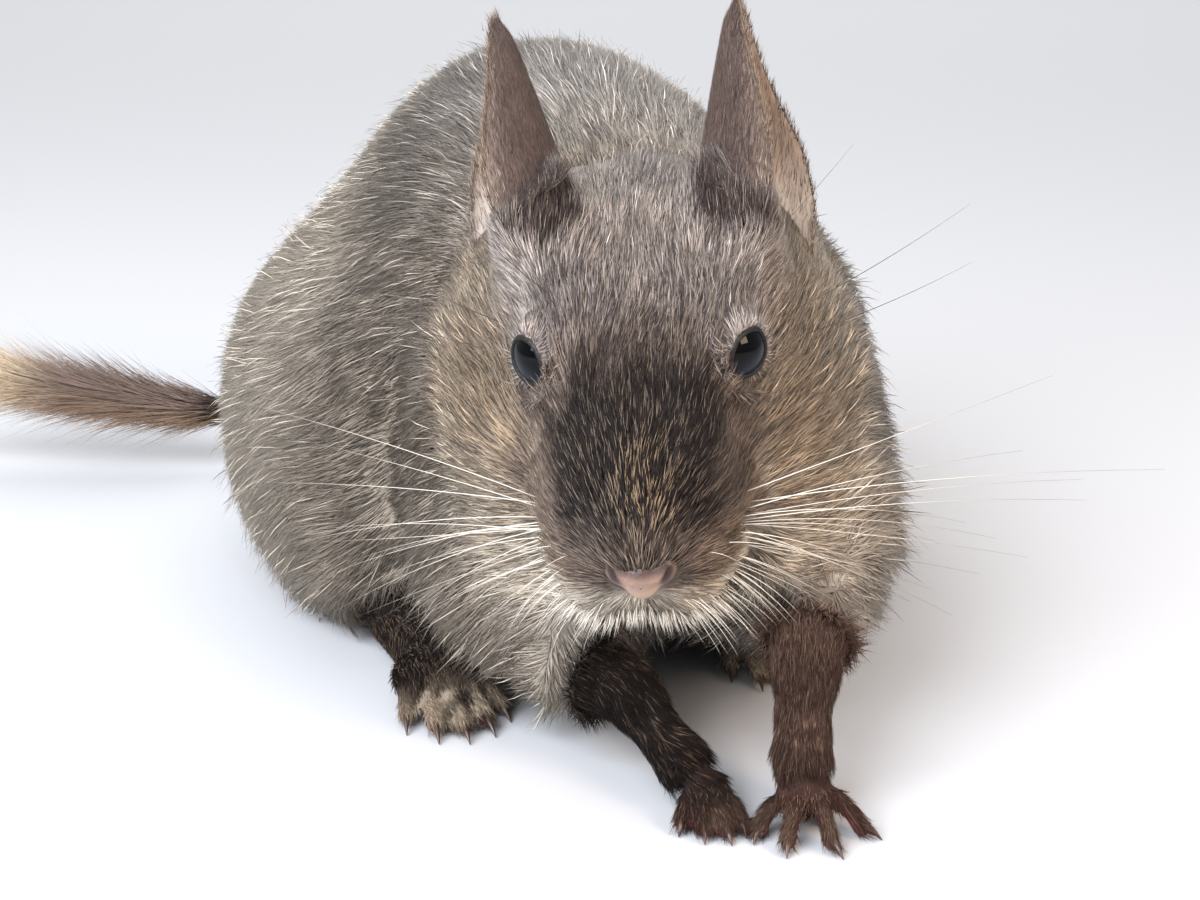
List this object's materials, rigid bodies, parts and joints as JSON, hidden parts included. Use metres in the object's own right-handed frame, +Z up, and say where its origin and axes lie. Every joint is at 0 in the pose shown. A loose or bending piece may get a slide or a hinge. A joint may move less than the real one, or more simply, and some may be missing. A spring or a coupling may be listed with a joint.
{
  "type": "life-size degu model",
  "caption": "Still, life-size figure of a degu in a hunched crouch, forepaws together, ears up, tail with its brush held out to one side.",
  "frame": {"origin": "centre of the footprint of the model's box, on the floor it rests on", "axes": "+X to the animal's left, along the tail's line, +Y from the nose to the rump, +Z up"},
  "size_m": [0.1666, 0.1384, 0.0804],
  "materials": {
    "coat": "short ticked fur, grey-brown",
    "face_coat": "short dense fur, dark on the muzzle",
    "ear_skin": "thin skin with very short brown hair",
    "eye": "wet, glossy, near black",
    "lid_skin": "bare dark skin",
    "leg_coat": "short dark brown fur over reddish skin",
    "claw": "smooth dark horn",
    "tail_coat": "bristly dark brown fur, longer at the brush",
    "whisker": "stiff pale hair that darkens to its tip"
  },
  "bodies": {
    "root": {"muzzle": "face_coat", "whiskers_left": "whisker", "whiskers_right": "whisker", "head": "face_coat", "neck": "coat", "torso": "coat", "thigh_left": "coat", "eye_left": "eye", "lids_left": "lid_skin", "thigh_right": "coat", "eye_right": "eye", "lids_right": "lid_skin", "ear_left": "ear_skin", "ear_right": "ear_skin", "foreleg_left": "leg_coat", "forepaw_left": "leg_coat", "hind_foot_left": "leg_coat", "foreleg_right": "leg_coat", "forepaw_right": "leg_coat", "hind_foot_right": "leg_coat", "claw_fore_left_1": "claw", "claw_fore_left_2": "claw", "claw_fore_left_3": "claw", "claw_fore_left_4": "claw", "claw_hind_left_1": "claw", "claw_hind_left_2": "claw", "claw_hind_left_3": "claw", "claw_hind_left_4": "claw", "claw_hind_left_5": "claw", "claw_fore_right_1": "claw", "claw_fore_right_2": "claw", "claw_fore_right_3": "claw", "claw_fore_right_4": "claw", "claw_hind_right_1": "claw", "claw_hind_right_2": "claw", "claw_hind_right_3": "claw", "claw_hind_right_4": "claw", "claw_hind_right_5": "claw", "tail_base": "tail_coat", "tail_middle": "tail_coat", "tail_brush": "tail_coat"}
  },
  "joints": []
}
